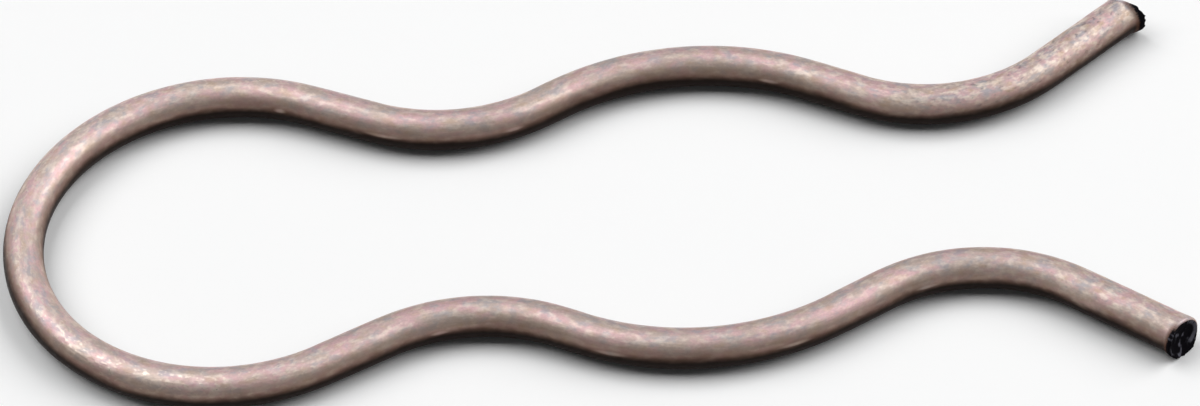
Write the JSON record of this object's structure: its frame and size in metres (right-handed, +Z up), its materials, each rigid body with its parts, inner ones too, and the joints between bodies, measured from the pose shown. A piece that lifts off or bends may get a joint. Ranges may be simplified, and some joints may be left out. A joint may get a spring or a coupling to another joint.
{
  "type": "retaining spring",
  "caption": "Flat hairpin of round spring wire: a round bight and a pair of mirrored waved legs that pinch, bow out, pinch again and flare at their ends, to snap over a post.",
  "frame": {"origin": "centre of the bight, in the plane of the wire's centreline", "axes": "+X along the axis of symmetry from the bight out through the mouth, +Y across the legs, +Z up from the surface that the spring lies flat on"},
  "size_m": [0.0683, 0.029, 0.0026],
  "materials": {
    "spring_steel": "satin drawn spring steel, warm grey with a faint mottle, dark on the sheared end faces"
  },
  "bodies": {
    "root": {"spring_wire": "spring_steel"}
  },
  "joints": []
}
